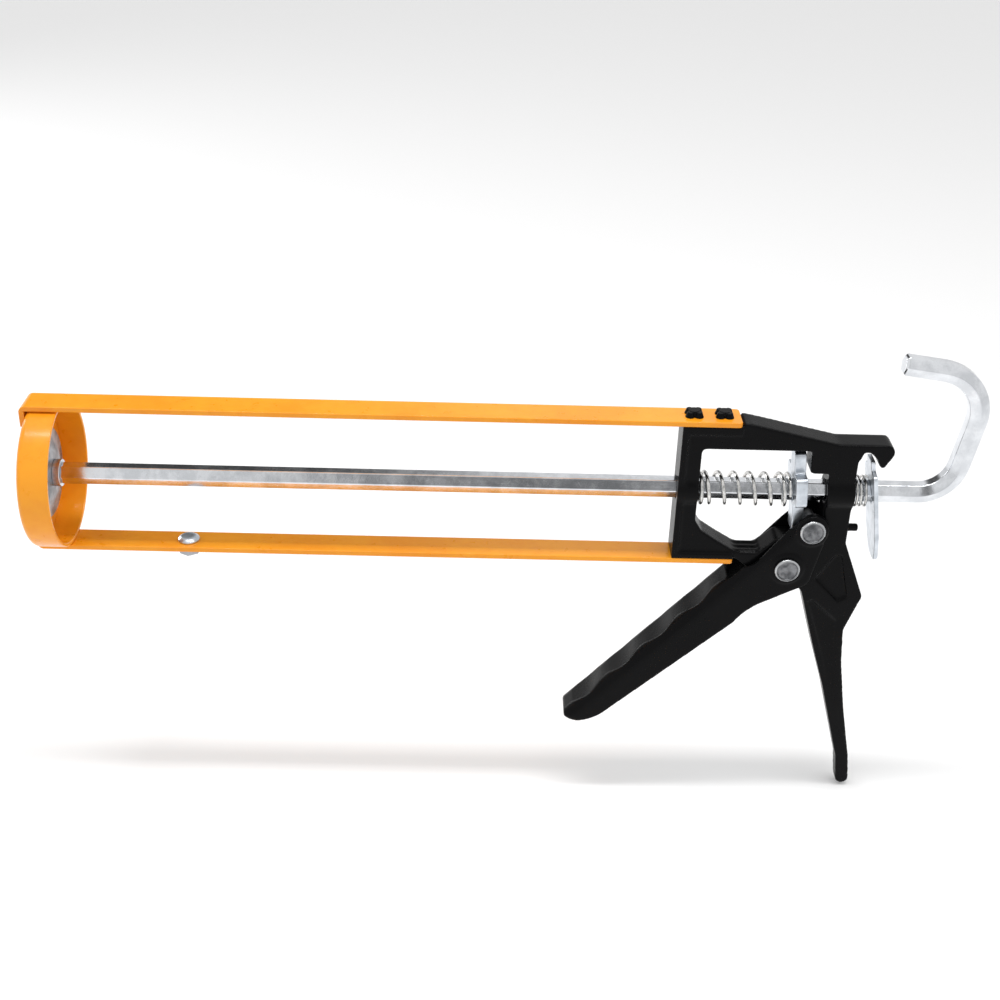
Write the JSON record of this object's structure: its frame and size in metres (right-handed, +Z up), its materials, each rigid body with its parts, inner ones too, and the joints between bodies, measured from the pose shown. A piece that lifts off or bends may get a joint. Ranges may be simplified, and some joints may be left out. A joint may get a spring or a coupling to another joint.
{
  "type": "caulking gun",
  "caption": "Skeleton caulking gun: front cup on flat straps, cast body and handle, squeeze trigger, friction-driven hex rod with piston and ladder hook.",
  "frame": {"origin": "centre of the nozzle hole at the front cup's front face, on the rod's axis", "axes": "+X towards the handle and hook, +Z up from the handle towards the top strap, +Y to the user's right when the nozzle end points away from them"},
  "size_m": [0.3425, 0.054, 0.1876],
  "materials": {
    "orange_paint": "gloss powder coat, orange yellow",
    "black_paint": "semi-gloss black paint on die casting",
    "zinc_plate": "bright zinc plate, faint blue tint",
    "rivet_steel": "zinc plated rivet steel, dished centre",
    "spring_wire": "nickel plated spring wire",
    "plated_rod": "bright plated drawn hexagon bar"
  },
  "bodies": {
    "frame": {"front_cup": "orange_paint", "top_strap": "orange_paint", "bottom_strap": "orange_paint", "top_strap_rivets": "black_paint", "bottom_strap_rivets": "black_paint", "stop_bolt": "zinc_plate", "stop_nut": "zinc_plate", "body_casting": "black_paint", "trigger_pivot_rivet": "rivet_steel", "main_spring": "spring_wire", "release_spring": "spring_wire"},
    "trigger": {"trigger": "black_paint", "drive_pin_rivet": "rivet_steel"},
    "drive_plate": {"drive_plate": "zinc_plate"},
    "release_plate": {"release_plate": "zinc_plate"},
    "rod": {"push_rod": "plated_rod", "piston_nut": "zinc_plate", "piston_washer": "zinc_plate"},
    "piston": {"piston_disc": "zinc_plate"}
  },
  "joints": [
    {"name": "trigger_squeeze", "type": "hinge", "parent": "frame", "child": "trigger", "pos_m": [0.2748, 0, -0.0292], "axis": [0, -1, 0], "range_deg": [0, 30], "stiffness_Nm_per_rad": 0.6, "springref_deg": -17.19},
    {"name": "drive_plate_slide", "type": "slide", "parent": "frame", "child": "drive_plate", "axis": [-1, 0, 0], "range_m": [0, 0.00915], "deforming": ["main_spring"]},
    {"name": "release_tilt", "type": "hinge", "parent": "frame", "child": "release_plate", "pos_m": [0.3009, 0, 0.0136], "axis": [0, 1, 0], "range_deg": [0, 5], "stiffness_Nm_per_rad": 0.05, "springref_deg": -11.46, "deforming": ["release_spring"]},
    {"name": "rod_slide", "type": "slide", "parent": "frame", "child": "rod", "axis": [1, 0, 0], "range_m": [0, 0.222]},
    {"name": "piston_spin", "type": "hinge", "parent": "rod", "child": "piston", "pos_m": [0.006, 0, 0], "axis": [1, 0, 0], "continuous": true}
  ],
  "couplings": [
    {"joint": "drive_plate_slide", "follows": "trigger_squeeze", "m_per_rad": 0.017389}
  ]
}
